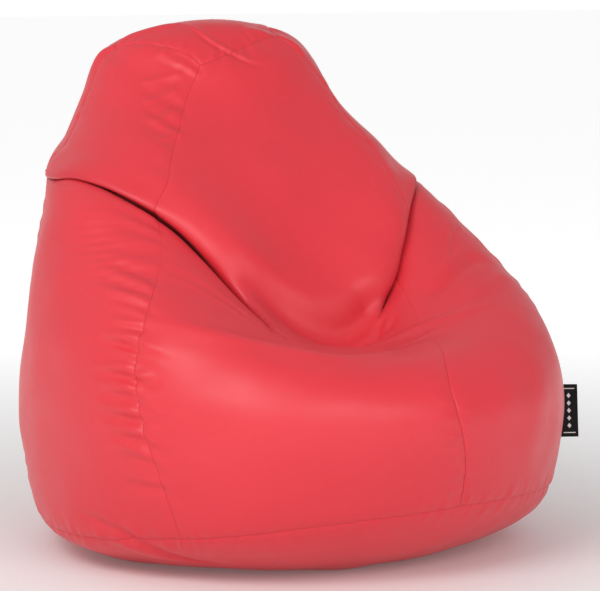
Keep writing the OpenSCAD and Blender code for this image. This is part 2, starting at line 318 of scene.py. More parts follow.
def nearest_on_path(points, path):
    """For each point, the place along the path of the nearest point, as a row number."""
    best = np.full(len(points), 1e9)
    where = np.zeros(len(points))
    for i in range(len(path) - 1):
        a, b = path[i], path[i + 1]
        t = np.clip(((points - a) @ (b - a)) / max((b - a) @ (b - a), 1e-12), 0, 1)
        gap = np.sum((points - a - t[:, None] * (b - a)) ** 2, axis=-1)
        closer = gap < best
        best[closer] = gap[closer]
        where[closer] = (i + t)[closer]
    return np.sqrt(best), where


def between(rows, at):
    i = np.minimum(at.astype(int), len(rows) - 2)
    t = at - i
    t = t[:, None] if rows.ndim > 1 else t
    return rows[i] * (1 - t) + rows[i + 1] * t


def add_fold(points, smooth, route):
    """Folds the cover along one line. Returns it with the distance from the line and the fold's size."""
    path, out, across, size = fold_frames(route)
    low, high = path.min(axis=0) - 0.12, path.max(axis=0) + 0.12
    near = np.all((smooth > low) & (smooth < high), axis=-1)
    p = smooth[near]
    gap, at = nearest_on_path(p, path)
    up, off, s = unit(between(across, at)), unit(between(out, at)), between(size, at)
    side = np.sum((p - between(path, at)) * up, axis=-1)
    distance = np.where(side > 0, gap, -gap) / MM
    scaled = distance / np.maximum(s, 0.05)
    shape = along(FOLD[:, 1:], fold_row(scaled))
    inside = ((scaled > FOLD[0, 0]) & (scaled < FOLD[-1, 0]))[:, None]
    moved = (shape[:, :1] - scaled[:, None]) * up + shape[:, 1:] * off
    folded = points.copy()
    folded[near] += np.where(inside, moved, 0) * s[:, None] * MM
    gaps, sizes = np.full(points.shape[:2], 1e3), np.zeros(points.shape[:2])
    gaps[near], sizes[near] = np.abs(distance), s
    return folded, gaps, sizes


# ---------------------------------------------------------------- soft shapes and puckers

def stroke(points, route, height, width, taper=0.25):
    """A ridge (or a valley, when height is negative) along a route of (angle, level)."""
    knots = along(np.array(route, float), np.linspace(0, len(route) - 1, 8 * len(route)))
    path = skin(knots[:, 0], knots[:, 1])
    margin = 3.2 * width * MM
    near = np.all((points > path.min(axis=0) - margin) & (points < path.max(axis=0) + margin), axis=-1)
    gap, at = nearest_on_path(points[near], path)
    part = at / (len(path) - 1)
    field = np.zeros(points.shape[:2])
    ends = ease(part / taper) * ease((1 - part) / taper)
    field[near] = height * MM * ends * np.exp(-(gap / (width * MM)) ** 2)
    return field


def bump(angle, level, height, at, spread):
    """A round swelling or dent at (angle, level)."""
    away = ((angle - at[0] + 180) % 360 - 180) / spread[0]
    return height * MM * np.exp(-away ** 2 - ((level - at[1]) / spread[1]) ** 2)


def seam_distance(points, k):
    """Signed distance of every point from seam k, along its row."""
    steps = np.linalg.norm(points - np.roll(points, 1, axis=1), axis=-1)
    total = np.cumsum(np.roll(steps, -k * COLS, axis=1), axis=1)
    right = np.roll(total - total[:, :1], k * COLS, axis=1)
    girth = total[:, -1:] - total[:, :1]
    return np.where(right > girth / 2, right - girth, right)


def ring_distance(points, row):
    """Signed distance up from one row, and the distance round that row."""
    lengths = column_lengths(points)
    ring = np.linalg.norm(points[row] - np.roll(points[row], 1, axis=0), axis=-1)
    return lengths - lengths[row], np.broadcast_to(np.cumsum(ring), lengths.shape)


def pucker_row(signed, height, rng, spots, side, reach, size, tilt=0.0):
    """Short wrinkles that run away from a seam, on one side of it."""
    field = np.zeros_like(signed)
    away = signed * side
    for spot in spots:
        length = rng.uniform(*reach) * MM
        rise = rng.uniform(*size) * MM
        width = rng.uniform(4.5, 8.5) * MM
        lean = tilt + rng.uniform(-0.12, 0.10)
        near = (away >= -0.02) & (away < 1.4 * length) & (np.abs(height - spot) < 8 * width + length)
        w, s = away[near], height[near]
        cross = (s - spot - lean * w + 1.1 * w * w) / (width * (1 + 0.5 * np.maximum(w, 0) / length))
        crest = np.exp(-cross ** 2) - 0.75 * np.exp(-(cross + 1.55) ** 2) - 0.35 * np.exp(-(cross - 1.6) ** 2)
        grow = ease((w + 0.014) / 0.026)
        fade = 1 - ease((w - 0.25 * length) / length)
        field[near] += rise * crest * grow * fade
    return field


# For each upright seam and side: from and to, as heights above the ground in metres, the
# spacing in millimetres, how far the wrinkles reach, how tall they are and how they tilt.
PUCKERS = [
    (0, -1, 0.16, 0.30, 19, (45, 75), (1.4, 2.6), 0.15),
    (0, -1, 0.30, 0.40, 21, (55, 90), (1.8, 3.4), 0.12),
    (0, -1, 0.40, 0.52, 17, (80, 130), (1.9, 3.2), 0.33),
    (0, 1, 0.16, 0.38, 30, (25, 52), (1.4, 2.8), -0.10),
    (0, -1, 0.60, 0.75, 21, (45, 80), (1.0, 2.0), 0.45),
    (1, -1, 0.10, 0.30, 26, (25, 50), (0.8, 1.9), 0.0),
    (1, 1, 0.10, 0.28, 34, (15, 32), (0.4, 1.0), 0.0),
    (1, 1, 0.60, 0.75, 27, (20, 40), (0.6, 1.5), 0.2),
    (1, -1, 0.60, 0.75, 30, (15, 35), (0.4, 1.0), 0.2),
    (2, -1, 0.10, 0.70, 29, (20, 45), (0.2, 0.8), 0.0),
    (2, 1, 0.10, 0.70, 28, (25, 60), (0.9, 2.4), 0.0),
    (3, -1, 0.10, 0.70, 27, (25, 60), (0.9, 2.4), 0.0),
    (3, 1, 0.10, 0.70, 30, (20, 50), (0.7, 2.0), 0.0),
    (4, -1, 0.58, 0.72, 30, (20, 45), (0.7, 1.8), 0.0),
    (4, 1, 0.58, 0.72, 30, (20, 45), (0.7, 1.8), 0.0),
    (5, -1, 0.10, 0.70, 28, (25, 60), (0.5, 1.4), 0.0),
    (5, 1, 0.10, 0.70, 27, (25, 60), (0.4, 1.0), 0.0)]

# The same for the base seam and the top seam, on both sides of each.
RING_PUCKERS = [
    ("base", 1, 34, (18, 40), (0.6, 1.6)),
    ("base", -1, 36, (18, 40), (0.6, 1.6)),
    ("top", 1, 26, (15, 32), (0.5, 1.3)),
    ("top", -1, 28, (18, 36), (0.6, 1.5))]


# Where a seam lies flat and hardly shows: its number, and the middle and half size in levels.
FLAT_SEAMS = [(1, 6.9, 1.0), (0, 7.2, 0.5)]


def flatness(k, level):
    """How flat seam k lies at each level, from 0 to 1."""
    flat = np.zeros(level.shape)
    for seam, middle, half in FLAT_SEAMS:
        if seam == k:
            flat = 0.9 * np.exp(-((level - middle) / half) ** 4)
    return flat


def dent(gap, depth=1.2):
    """The dip beside a seam: a tight groove, its depth in millimetres, in a wider valley."""
    return -depth * MM * np.exp(-gap / (1.0 * MM)) - 0.9 * MM * np.exp(-(gap / (8 * MM)) ** 2)


def add_puckers(points, level, rng):
    """Wrinkles beside every seam, and the dip along it."""
    field = np.zeros(points.shape[:2])
    groove = np.zeros_like(field)
    upright = np.zeros_like(field)
    upright[LOW:HIGH + 1] = 1
    for k in range(6):
        signed = seam_distance(points, k)
        dip = dent(np.abs(signed), 0.7 if k == 0 else 1.2)
        groove = np.minimum(groove, dip * upright * (1 - flatness(k, level)))
        for seam, side, low, high, spacing, reach, size, tilt in PUCKERS:
            if seam == k:
                spots = np.arange(low, high, spacing * MM)
                spots = spots + rng.uniform(-0.3, 0.3, len(spots)) * spacing * MM
                row = pucker_row(signed, points[..., 2], rng, spots, side, reach, size, tilt)
                field += row * upright
    for row, name in ((LOW, "base"), (HIGH, "top")):
        up, round_it = ring_distance(points, row)
        groove = np.minimum(groove, dent(np.abs(up)))
        for ring, side, spacing, reach, size in RING_PUCKERS:
            if ring == name:
                spots = np.arange(0.02, round_it.max(), spacing * MM)
                spots = spots + rng.uniform(-0.4, 0.4, len(spots)) * spacing * MM
                field += pucker_row(up, round_it, rng, spots, side, reach, size)
    return field, groove


def waves(points, rng, wavelength, count=24):
    """Smooth random swelling of one size, the same all round."""
    total = np.zeros(points.shape[:2])
    for _ in range(count):
        direction = unit(rng.normal(size=3))
        total += np.sin(2 * np.pi * (points @ direction) / wavelength + rng.uniform(0, 2 * np.pi))
    return total / math.sqrt(count / 2)


# Soft ridges (or valleys, where the height is negative): height and width in
# millimetres, and the route as (angle, level). The broad ones round the seat come first.
SOFT_LINES = [
    (4.5, 17, [(-62, 6.05), (-44, 6.1), (-29, 6.15), (-14, 6.1), (2, 6.45), (20, 6.55)]),
    (2.8, 8, [(-28, 6.3), (-15, 6.75), (-3, 7.1), (13, 7.1), (32, 6.6), (44, 6.3)]),
    (-5.0, 12, [(-27, 6.5), (-19, 6.75), (-8, 7.3), (4, 7.6), (14, 7.5), (22, 7.6)]),
    (-3.5, 14, [(62, 6.5), (50, 6.82), (38, 7.03), (27, 7.25)]),
    (2.5, 16, [(66, 6.1), (54, 6.4), (42, 6.6), (30, 6.7)]),
    (2.6, 4, [(-66, 12.95), (-48, 12.85), (-34, 12.70), (-19, 12.45), (-5, 12.23), (6, 12.0), (17, 11.85)]),
    (-2.2, 4, [(-52, 12.76), (-34, 12.58), (-19, 12.34), (-5, 12.12), (7, 11.89), (19, 11.76)]),
    (4.5, 13, [(-101, 10.5), (-99, 11.05), (-97, 11.45), (-88, 12.1), (-76, 12.7), (-62, 13.1)]),
    (-3.0, 14, [(-108, 11.9), (-90, 11.4), (-70, 11.1)]),
    (5.0, 12, [(20, 12.95), (36, 12.65), (46, 12.35), (53, 11.95), (57, 11.4)]),
    (-2.2, 6, [(42, 12.55), (48, 12.3), (51, 11.95), (52, 11.5)]),
    (2.2, 6, [(-59, 10.75), (-47, 11.15), (-36, 11.5)]),
    (-1.6, 6, [(-58, 10.55), (-47, 10.95), (-37, 11.3)]),
    (2.4, 6, [(-58, 10.35), (-47, 10.75), (-37, 11.1)]),
    (-1.8, 6, [(-56, 10.15), (-46, 10.55), (-38, 10.9)]),
    (2.4, 6, [(-56, 9.95), (-46, 10.4), (-38, 10.75)]),
    (-1.6, 6, [(-54, 9.78), (-46, 10.2), (-39, 10.5)]),
    (2.0, 6, [(-53, 9.62), (-46, 10.0), (-40, 10.3)]),
    (-4.5, 8, [(-80, 3.3), (-72, 3.2), (-65, 3.02), (-58, 2.6), (-50, 2.05), (-40, 1.9)]),
    (2.5, 9, [(-78, 3.05), (-68, 2.85), (-60, 2.4), (-52, 1.9)]),
    (-2.6, 6, [(60, 6.66), (47, 6.84), (37.5, 7.01), (30, 7.18)]),
    (2.4, 7, [(57, 6.86), (46, 7.01), (37, 7.16), (30, 7.32)]),
    (1.6, 4, [(66, 7.0), (56, 7.15), (46, 7.10), (38, 7.2)]),
    (-1.4, 4, [(66, 6.9), (56, 7.05), (46, 7.02)]),
    (2.0, 4, [(-20, 6.42), (-8, 6.60), (6, 6.68), (18, 6.72), (27, 6.62), (38, 6.42)]),
    (0.9, 4, [(-52, 7.10), (-42, 7.22), (-33, 7.16), (-27, 6.92)]),
    (-0.8, 3.5, [(-52, 6.98), (-42, 7.10), (-34, 7.06), (-28, 6.86)]),
    (0.9, 4, [(-53, 6.86), (-43, 6.98), (-35, 6.96), (-28, 6.80)]),
    (-2.2, 3.5, [(-98, 7.68), (-89, 7.70), (-80, 7.68)]),
    (-3.0, 6, [(-24, 6.95), (-19, 6.85), (-14, 6.95)]),
    (-3.0, 7, [(8, 7.4), (12, 7.62), (17, 7.72)]),
    (2.0, 6, [(9, 7.25), (14, 7.5), (19, 7.62)])]


# Round swellings and dents: height in millimetres, then the place and the spread, both as
# (angle, level). The last one trims the left side of the belly.
BUMPS = [
    (6, (-25, 4.6), (40, 1.0)),
    (5, (38, 4.6), (22, 1.0)),
    (-5, (-5, 9.4), (16, 0.5)),
    (4, (0, 10.6), (20, 0.8)),
    (-4.5, (-115, 5.3), (32, 2.0))]

# Wrinkles that cross the front left seam, each a valley with a ridge above it: the level,
# the depth in millimetres, and how many degrees it reaches left and right of the seam.
CROSSINGS = [
    (6.12, 2.6, 12, 7), (5.47, 4.2, 12, 10), (5.03, 3.2, 10, 7), (4.75, 2.8, 10, 8),
    (4.50, 3.8, 13, 13), (4.22, 3.0, 12, 8), (3.92, 2.0, 10, 6), (3.66, 3.2, 12, 10)]
CROSSING_WIDTH, CROSSING_TAPER = 7.5, 0.5
RIDGE_LIFT, RIDGE_SHARE = 0.11, 0.7


def crossing_wrinkles(points):
    """The valleys and ridges of CROSSINGS, as one field of heights."""
    field = np.zeros(points.shape[:2])
    for level, depth, left, right in CROSSINGS:
        seam = angle_at(np.zeros(1), np.full(1, level))[0]
        for lift, height in ((0.0, -depth), (RIDGE_LIFT, RIDGE_SHARE * depth)):
            v = level + lift
            route = [(seam - left, v + 0.04), (seam - 0.5 * left, v + 0.03), (seam, v),
                     (seam + right, v - 0.05)]
            field += stroke(points, route, height, CROSSING_WIDTH, CROSSING_TAPER)
    return field


def soft_shape(points, angle, level):
    """The large soft shapes of the pressed cover."""
    h = np.zeros(points.shape[:2])
    for height, width, route in SOFT_LINES:
        h += stroke(points, route, height, width)
    h += crossing_wrinkles(points)
    for height, at, spread in BUMPS:
        h += bump(angle, level, height, at, spread)
    return h


def stress_lines(points, angle, level):
    """Fine level wrinkles on the arm below the left end of the crease."""
    lengths = column_lengths(points)
    window = np.exp(-((angle + 74) / 15) ** 2 - ((level - 6.75) / 0.45) ** 2)
    lift = 0.05 * np.sin(np.radians(angle * 3))
    return 0.75 * MM * window * np.sin(2 * np.pi * (lengths + lift) / (15 * MM))


# ---------------------------------------------------------------- mesh helpers

def new_mesh(name, points, faces):
    mesh = bpy.data.meshes.new(name)
    flat = np.ascontiguousarray(points.reshape(-1, 3), dtype=np.float32)
    faces = np.ascontiguousarray(faces, dtype=np.int32)
    mesh.vertices.add(len(flat))
    mesh.vertices.foreach_set("co", flat.ravel())
    mesh.loops.add(faces.size)
    mesh.loops.foreach_set("vertex_index", faces.ravel())
    mesh.polygons.add(len(faces))
    mesh.polygons.foreach_set("loop_start", np.arange(0, faces.size, faces.shape[1], dtype=np.int32))
    mesh.polygons.foreach_set("use_smooth", np.ones(len(faces), dtype=bool))
    mesh.update(calc_edges=True)
    mesh.validate()
    return add_object(name, mesh)


def grid_faces(rows, cols, closed=False):
    i, j = np.meshgrid(np.arange(rows - 1), np.arange(cols if closed else cols - 1), indexing="ij")
    right = (j + 1) % cols
    return np.stack([i * cols + j, i * cols + right, (i + 1) * cols + right, (i + 1) * cols + j],
                    -1).reshape(-1, 4)


def dress(piece, material, body, slot, *nodes):
    piece.data.materials.clear()
    piece.data.materials.append(material)
    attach(piece, body)
    if nodes:
        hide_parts(*nodes)


# ---------------------------------------------------------------- materials

class Nodes:
    """A short way to write node trees."""

    def __init__(self, name):
        self.material = bpy.data.materials.new(name)
        self.material.use_nodes = True
        self.tree = self.material.node_tree
        self.shader = self.tree.nodes["Principled BSDF"]
        self.place = self.add("ShaderNodeTexCoord").outputs["Object"]

    def add(self, kind, **values):
        node = self.tree.nodes.new(kind)
        for key, value in values.items():
            setattr(node, key, value)
        return node

    def join(self, a, b):
        self.tree.links.new(a, b)

    def noise(self, scale, detail=3.0, rough=0.5, place=None):
        node = self.add("ShaderNodeTexNoise")
        node.inputs["Scale"].default_value = scale
        node.inputs["Detail"].default_value = detail
        node.inputs["Roughness"].default_value = rough
        self.join(place or self.place, node.inputs["Vector"])
        return node.outputs["Fac"]

    def cells(self, scale, feature="DISTANCE_TO_EDGE", place=None):
        node = self.add("ShaderNodeTexVoronoi", feature=feature)
        node.inputs["Scale"].default_value = scale
        self.join(place or self.place, node.inputs["Vector"])
        return node.outputs["Distance"]

    def ramp(self, value, low, high, start=0.0, end=1.0):
        node = self.add("ShaderNodeMapRange")
        for key, number in zip(("From Min", "From Max", "To Min", "To Max"), (start, end, low, high)):
            node.inputs[key].default_value = number
        self.join(value, node.inputs["Value"])
        return node.outputs["Result"]

    def colours(self, value, *stops):
        node = self.add("ShaderNodeValToRGB")
        parts = node.color_ramp.elements
        while len(parts) < len(stops):
            parts.new(0.5)
        for part, (at, colour) in zip(parts, stops):
            part.position = at
            part.color = (*colour, 1)
        self.join(value, node.inputs["Fac"])
        return node.outputs["Color"]

    def mix(self, factor, a, b):
        node = self.add("ShaderNodeMix", data_type="RGBA")
        self.join(factor, node.inputs["Factor"])
        self.join(a, node.inputs["A"])
        self.join(b, node.inputs["B"])
        return node.outputs["Result"]

    def times(self, a, b):
        node = self.add("ShaderNodeMath", operation="MULTIPLY")
        self.join(a, node.inputs[0])
        self.join(b, node.inputs[1])
        return node.outputs[0]

    def bump(self, height, strength, distance, below=None):
        node = self.add("ShaderNodeBump")
        node.inputs["Strength"].default_value = strength
        node.inputs["Distance"].default_value = distance
        self.join(height, node.inputs["Height"])
        if below:
            self.join(below, node.inputs["Normal"])
        return node.outputs["Normal"]

    def set(self, **values):
        for key, value in values.items():
            self.shader.inputs[key.replace("_", " ")].default_value = value

    def finish(self, colour=None, rough=None, normal=None):
        for source, name in ((colour, "Base Color"), (rough, "Roughness"), (normal, "Normal")):
            if source is not None:
                self.join(source, self.shader.inputs[name])
        return self.material


def faux_leather():
    n = Nodes("coral_faux_leather")
    cloud = n.noise(3.0, 4.0)
    tone = n.colours(cloud, (0.30, (0.70, 0.032, 0.047)), (0.70, (0.75, 0.038, 0.056)))
    pores = n.cells(1150)
    grain = n.noise(700, 4.0, 0.6)
    fine = n.bump(n.ramp(pores, 0.0, 1.0, 0.0, 0.10), 0.10, 0.0004)
    normal = n.bump(grain, 0.10, 0.0004, fine)
    rough = n.ramp(n.noise(24, 5.0, 0.6), 0.36, 0.43, 0.3, 0.7)
    worn = n.colours(n.noise(90, 6.0, 0.7), (0.35, (0.71, 0.033, 0.049)), (0.75, (0.76, 0.042, 0.060)))
    colour = n.mix(n.ramp(grain, 0.15, 0.45), tone, worn)
    # Painted shade in the folds: where the crease attribute is set, the colour is mixed up to 0.75 of the way
    # towards a dark red.
    crease = n.add("ShaderNodeAttribute", attribute_name="crease").outputs["Fac"]
    painted_crease_shade = n.colours(cloud, (0.3, (0.20, 0.004, 0.009)), (0.7, (0.24, 0.005, 0.011)))
    colour = n.mix(n.ramp(crease, 0.0, 0.75), colour, painted_crease_shade)
    n.set(Specular_IOR_Level=0.42, Sheen_Weight=0.04, Sheen_Roughness=0.5)
    n.shader.inputs["Sheen Tint"].default_value = (1.0, 0.75, 0.75, 1)
    return n.finish(colour, rough, normal)


def plain_cloth(name, dark, light, scale=900.0, rough=(0.75, 0.9), bump=0.3):
    """A fine plain weave: two crossed sets of threads."""
    n = Nodes(name)
    split = n.add("ShaderNodeSeparateXYZ")
    n.join(n.place, split.inputs["Vector"])
    threads = []
    for axis in ("X", "Z"):
        times = n.add("ShaderNodeMath", operation="MULTIPLY")
        n.join(split.outputs[axis], times.inputs[0])
        times.inputs[1].default_value = scale * 6.283
        sine = n.add("ShaderNodeMath", operation="SINE")
        n.join(times.outputs[0], sine.inputs[0])
        threads.append(sine.outputs[0])
    height = n.ramp(n.times(*threads), 0, 1, -1, 1)
    tone = n.colours(height, (0.2, dark), (0.8, light))
    spots = n.colours(n.noise(60, 5.0), (0.3, dark), (0.7, light))
    colour = n.mix(n.ramp(n.noise(9, 3.0), 0.2, 0.6), tone, spots)
    roughness = n.ramp(n.noise(150, 4.0), *rough)
    return n.finish(colour, roughness, n.bump(height, bump, 0.0003))


def bead_foam():
    n = Nodes("polystyrene_beads")
    ball = n.cells(260, "F1")
    # Each bead is lighter at its middle and darker towards its rim, from 0.95 to 0.70: painted shade between
    # the beads.
    tone = n.colours(ball, (0.0, (0.95, 0.95, 0.93)), (0.7, (0.70, 0.70, 0.68)))
    return n.finish(tone, n.ramp(n.noise(80), 0.6, 0.8), n.bump(n.ramp(ball, 1, 0), 0.8, 0.002))


# ---------------------------------------------------------------- cloth simulation

# Columns in a panel, levels between rows, and rows below the base seam and above the top.
SIM_COLS, SIM_ROWS = 56, 0.062
SIM_BASE_ROWS, SIM_TOP_ROWS = 16, 12
SIM_FRAMES = 16
# How near to a fold line the cloth is held still, in millimetres.
SIM_HOLD_REACH = 26
SIM_CLOTH = {
    "quality": 5, "mass": 0.25, "tension_stiffness": 60, "compression_stiffness": 25,
    "shear_stiffness": 12, "bending_stiffness": 0.6, "air_damping": 3,
    "use_pressure": True, "uniform_pressure_force": 5.0,
    "vertex_group_mass": "hold", "pin_stiffness": 2.0,
    "vertex_group_shrink": "seam", "shrink_min": -0.045, "shrink_max": 0.02}


def simulate(rng):
    """Lets a coarse copy of the cover swell like cloth, and returns how far it moves outwards.

    The panels are cut a little larger than their seams, so that they gather beside them.
    """
    positions = np.arange(6 * SIM_COLS) / SIM_COLS
    rows = panel_rows(SIM_ROWS, 0.0)
    angle, level = whole_grid(positions, rows, SIM_BASE_ROWS, SIM_TOP_ROWS)
    start = skin(angle, level)
    for route in (LEFT_FOLD, RIGHT_FOLD):
        start = add_fold(start, skin(angle, level), route)[0]
    out = frames(start)[2]
    start = start + 0.4 * MM * rng.normal(size=level.shape)[..., None] * out
    rings = start.copy()
    rings[0], rings[-1] = rings[1].mean(axis=0), rings[-2].mean(axis=0)
    count, cols = level.shape
    piece = new_mesh("cover_simulation", rings, grid_faces(count, cols, True))
    seam = np.zeros(level.shape)
    seam[SIM_BASE_ROWS:1 - SIM_TOP_ROWS, ::SIM_COLS] = 1
    seam[[SIM_BASE_ROWS, -SIM_TOP_ROWS]] = 1
    hold = np.zeros(level.shape)
    hold[(start[..., 2] < 0.004) | (level < 1.2)] = 1
    hold[[0, -1]] = 1
    for route in (LEFT_FOLD, RIGHT_FOLD):
        _, distance, size = add_fold(start, skin(angle, level), route)
        hold = np.maximum(hold, np.clip(size, 0, 1) * (distance < SIM_HOLD_REACH))
    for name, values in (("seam", seam), ("hold", hold)):
        group = piece.vertex_groups.new(name=name)
        flat = values.ravel()
        for i in np.nonzero(flat > 0.05)[0]:
            group.add([int(i)], float(flat[i]), "REPLACE")
    cloth = piece.modifiers.new("cloth", "CLOTH")
    for key, value in SIM_CLOTH.items():
        setattr(cloth.settings, key, value)
    cloth.settings.effector_weights.gravity = 0
    cloth.collision_settings.use_collision = False
    cloth.point_cache.frame_start = 1
    cloth.point_cache.frame_end = SIM_FRAMES
    scene = bpy.context.scene
    for frame_number in range(1, SIM_FRAMES + 1):
        scene.frame_set(frame_number)
    view = piece.evaluated_get(bpy.context.evaluated_depsgraph_get())
    moved = np.zeros(3 * len(view.data.vertices), dtype=np.float32)
    view.data.vertices.foreach_get("co", moved)
    scene.frame_set(1)
    bpy.data.objects.remove(piece)
    swell = np.sum((moved.reshape(start.shape) - start) * out, axis=-1)
    return positions, rows, swell


def soften(field, times):
    """Blurs a closed grid of numbers."""
    for _ in range(times):
        field = 0.5 * field + 0.25 * (np.roll(field, 1, axis=1) + np.roll(field, -1, axis=1))
        field[1:-1] = 0.5 * field[1:-1] + 0.25 * (field[:-2] + field[2:])
    return field


def row_levels(base_rows, rows, top_rows):
    """The level of every row of a grid, before the base and top seams rise and fall."""
    low = np.linspace(0, BASE_RING, base_rows, endpoint=False)
    return np.concatenate([low, rows, np.linspace(TOP_RING, POLE, top_rows + 1)[1:]])


def gathers(rng):
    """The short folds of the simulated cloth, without its overall growth, on the fine grid."""
    positions, rows, swell = simulate(rng)
    swell = np.clip(swell, -0.03, 0.03)
    local = swell - soften(swell.copy(), 40)
    local = 7 * MM * np.tanh(local / (7 * MM))
    place = np.append(positions, 6.0)
    local = np.concatenate([local, local[:, :1]], axis=1)
    coarse_down = row_levels(SIM_BASE_ROWS, rows, SIM_TOP_ROWS)
    fine_down = row_levels(BASE_ROWS, ROWS, TOP_ROWS)
    wide = np.stack([np.interp(POSITIONS, place, row) for row in local])
    return np.stack([np.interp(fine_down, coarse_down, column) for column in wide.T], axis=-1)


# ---------------------------------------------------------------- building the cover

def shape_cover(angle, level, rng, gathered):
    """The finished cover as a grid of points, and the outward direction at each."""
    smooth = skin(angle, level)
    turn = (angle + 180) % 360 - 180
    folded, calm, hollow = smooth, np.ones(level.shape), np.zeros(level.shape)
    # shade marks where painted shade goes: along both fold lines, scaled by the fold's size and fading over
    # about 9 mm each side.
    shade = np.zeros(level.shape)
    for route in (LEFT_FOLD, RIGHT_FOLD):
        folded, distance, size = add_fold(folded, smooth, route)
        shade = np.maximum(shade, np.clip(size, 0, 1) * np.exp(-(distance / 9) ** 2))
        calm -= 0.9 * np.exp(-(distance / 28) ** 2) * np.clip(size, 0, 1)
        hollow = np.maximum(hollow, 26 * MM * np.clip(size, 0, 1.3) * np.exp(-(distance / 40) ** 2))
    _, _, out = frames(folded)
    puckers, groove = add_puckers(smooth, level, rng)
    height = soft_shape(smooth, turn, level) + stress_lines(smooth, turn, level)
    height += 1.6 * MM * waves(smooth, rng, 0.26) + 0.5 * MM * waves(smooth, rng, 0.09)
    calmer = 0.45 * np.exp(-((turn - 72) / 26) ** 2) + 0.3 * np.exp(-((turn + 115) / 20) ** 2)
    share = 0.55 - calmer + 0.45 * np.exp(-((turn + 62) / 22) ** 2)
    height += gathered * share * (1 - 0.45 * ease((level - 9) / 1.5))
    calm = calm * ease((POLE - level) / 0.5) * ease(level / 0.5)
    cover = folded + ((height + puckers) * calm + groove)[..., None] * out
    cover[..., 2] = np.maximum(cover[..., 2], 0)
    inner = np.minimum((height + puckers) * calm + groove, 0) - hollow
    return cover, out, smooth, inner, shade


add_camera()
add_studio()
LEATHER = faux_leather()
LINER = plain_cloth("liner_cloth", (0.74, 0.73, 0.69), (0.86, 0.85, 0.81), 500)
BEADS = bead_foam()

ROWS = panel_rows(0.031, 0.018)
LOW = BASE_ROWS = 72
HIGH = LOW + len(ROWS) - 1
TOP_ROWS = 44
FRACTIONS = np.arange(COLS) / COLS
FRACTIONS = FRACTIONS - EDGE_CROWDING * np.sin(2 * np.pi * FRACTIONS) / (2 * np.pi)
POSITIONS = (np.arange(6)[:, None] + FRACTIONS).ravel()

angle, level = whole_grid(POSITIONS, ROWS, BASE_ROWS, TOP_ROWS)
gathered = gathers(np.random.default_rng(3))
cover, out, smooth, inner, shade = shape_cover(angle, level, np.random.default_rng(7), gathered)

TURN_IN = 5 * MM
ZIP_JOINT = next(j for j in frame["joints"] if j["name"] == "pull_swing")
ZIP_X = ZIP_JOINT["pos_m"][0]
ZIP_LOW, ZIP_HIGH = 0.206, 0.558
ZIP_ROOM = 9 * MM


def zip_room(points, side):
    """Slides a panel's points away from the zip, so that its edge leaves room for the teeth."""
    edge = points[:, 0 if side > 0 else -1]
    room = ZIP_ROOM + side * (edge[:, 0] - ZIP_X)
    tall = ease((edge[:, 2] - ZIP_LOW) / 0.012 + 0.5) * ease((ZIP_HIGH - edge[:, 2]) / 0.012 + 0.5)
    moved = points.copy()
    for i, share in enumerate(tall):
        line = points[i] if side > 0 else points[i][::-1]
        s = np.concatenate([[0], np.cumsum(np.linalg.norm(np.diff(line, axis=0), axis=-1))])
        target = s + room[i] * share * np.clip(1 - s / 0.09, 0, 1) ** 2
        line = np.stack([np.interp(target, s, line[:, c]) for c in range(3)], axis=-1)
        moved[i] = line if side > 0 else line[::-1]
    return moved


def cut_size(points):
    """The flat width, length and area of the cloth that covers a grid of points."""
    across = np.linalg.norm(np.diff(points, axis=1), axis=-1).sum(axis=1).max()
    down = np.linalg.norm(np.diff(points, axis=0), axis=-1).sum(axis=0).max()
    diagonals = np.cross(points[1:, 1:] - points[:-1, :-1], points[1:, :-1] - points[:-1, 1:])
    return float(across), float(down), float(0.5 * np.linalg.norm(diagonals, axis=-1).sum())


def declare_cloth(points, round_cut=False, layers=1):
    """Works out how large a piece of cloth was cut, a little larger than the skin it covers, and keeps
    nothing of it.

    A bag of two layers is worked out as the cut of one of them.
    """
    across, down, area = cut_size(points)
    if round_cut:
        across = down = 2 * down
    across, area = across / layers, min(1.02 * area, across * down) / layers


def build_panel(k):
    """One upright panel, with its side edges turned inwards as seam allowances."""
    columns = np.arange(k * COLS, (k + 1) * COLS + 1) % ACROSS
    points, normals = cover[LOW:HIGH + 1, columns], out[LOW:HIGH + 1, columns]
    if k == ZIP_SEAM:
        points = zip_room(points, 1)
    if k == ZIP_SEAM - 1:
        points = zip_room(points, -1)
    left = points[:, :1] - TURN_IN * normals[:, :1]
    right = points[:, -1:] - TURN_IN * normals[:, -1:]
    points = np.concatenate([left, points, right], axis=1)
    piece = new_mesh(PANELS[k] + "_cover", points, grid_faces(*points.shape[:2]))
    # The painted fold shade goes onto the panel as its crease attribute, which darkens the leather colour
    # there.
    depth = shade[LOW:HIGH + 1, columns]
    depth = np.concatenate([depth[:, :1], depth, depth[:, -1:]], axis=1)
    layer = piece.data.attributes.new("crease", "FLOAT", "POINT")
    layer.data.foreach_set("value", depth.ravel().astype(np.float32))
    dress(piece, LEATHER, "bag", "cover", PANELS[k])
    declare_cloth(smooth[LOW:HIGH + 1, columns])
    return piece


def polar_piece(name, rings, outwards):
    """A mesh of closed rings that end in one middle point, the last ring given."""
    rows, cols = rings.shape[:2]
    points = np.vstack([rings[:-1].reshape(-1, 3), rings[-1].mean(axis=0)])
    quads = grid_faces(rows - 1, cols, True)
    last = (rows - 2) * cols
    j = np.arange(cols)
    fan = np.stack([last + j, last + (j + 1) % cols, np.full(cols, len(points) - 1)], axis=-1)
    if not outwards:
        quads, fan = quads[:, ::-1], fan[:, ::-1]
    mesh = bpy.data.meshes.new(name)
    mesh.from_pydata(points.tolist(), [], quads.tolist() + fan.tolist())
    mesh.polygons.foreach_set("use_smooth", np.ones(len(mesh.polygons), dtype=bool))
    return add_object(name, mesh)


